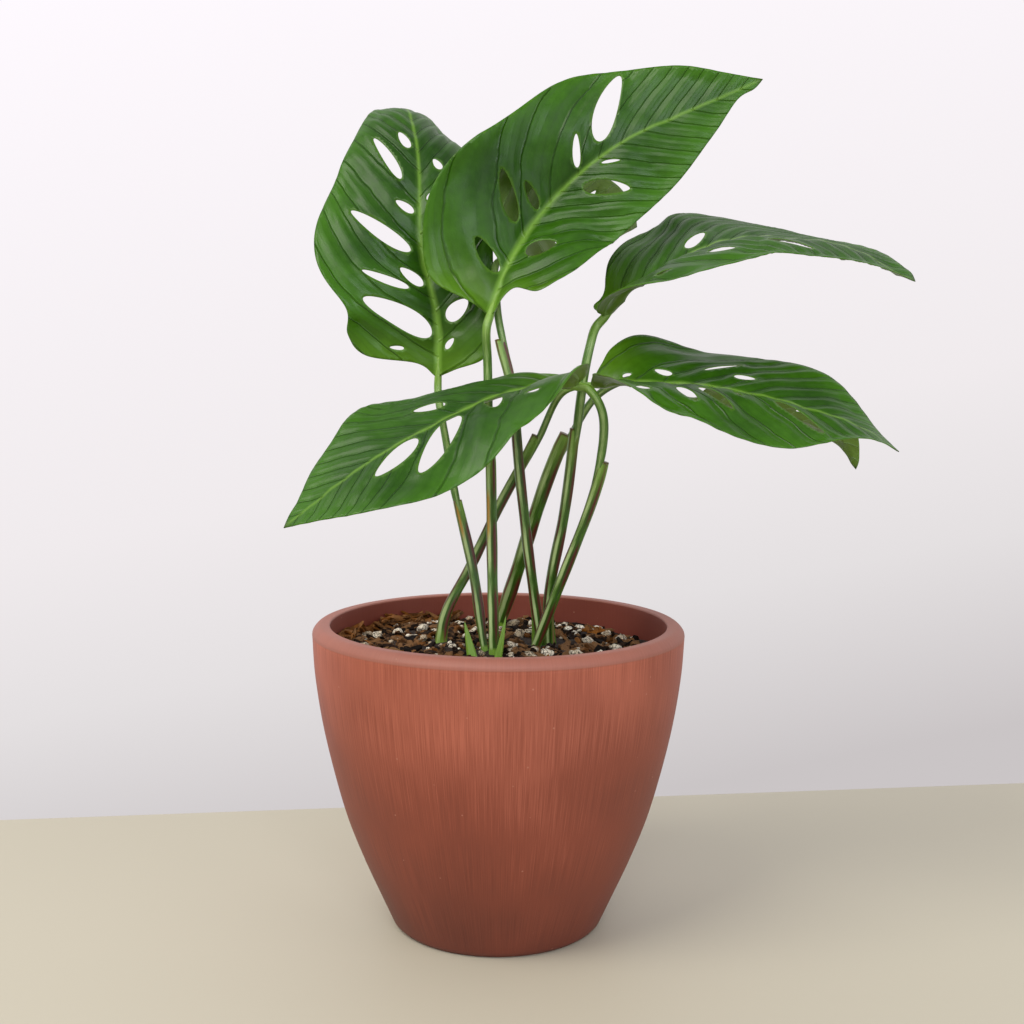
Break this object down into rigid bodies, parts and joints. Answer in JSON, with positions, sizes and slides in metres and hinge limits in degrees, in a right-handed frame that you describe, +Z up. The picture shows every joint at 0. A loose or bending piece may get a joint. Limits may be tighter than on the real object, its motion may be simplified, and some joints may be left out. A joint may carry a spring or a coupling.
{
  "type": "potted monstera adansonii",
  "caption": "Swiss cheese vine with perforated green leaves on long sheathed stalks, planted in bark and perlite in a plain tapered terracotta-red pot.",
  "frame": {"origin": "middle of the pot's flat base, on the surface that the pot stands on", "axes": "+Z up; the picture looks along +Y with +X to the right"},
  "size_m": [0.2483, 0.1857, 0.359],
  "materials": {
    "terracotta": "matt unglazed clay with fine brushed streaks",
    "potting_mix": "dark bark chips with cream perlite",
    "leaf_green": "satin leaf with lighter midrib",
    "stalk_green": "satin green stalk with pale streaks and brown sheath edges",
    "spike_green": "bright young growth",
    "dry_brown": "dry papery sheath"
  },
  "bodies": {
    "root": {"pot": "terracotta", "soil": "potting_mix", "leaf_back_left_blade": "leaf_green", "leaf_back_left_stalk": "stalk_green", "leaf_top_blade": "leaf_green", "leaf_top_stalk": "stalk_green", "leaf_right_upper_blade": "leaf_green", "leaf_right_upper_stalk": "stalk_green", "leaf_right_lower_blade": "leaf_green", "leaf_right_lower_stalk": "stalk_green", "leaf_front_left_blade": "leaf_green", "leaf_front_left_stalk": "stalk_green", "leaf_behind_top_blade": "leaf_green", "leaf_behind_top_stalk": "stalk_green", "leaf_behind_right_blade": "leaf_green", "leaf_behind_right_stalk": "stalk_green", "spike_left": "spike_green", "spike_middle": "spike_green", "spike_right": "spike_green", "dry_sheath": "dry_brown"}
  },
  "joints": []
}
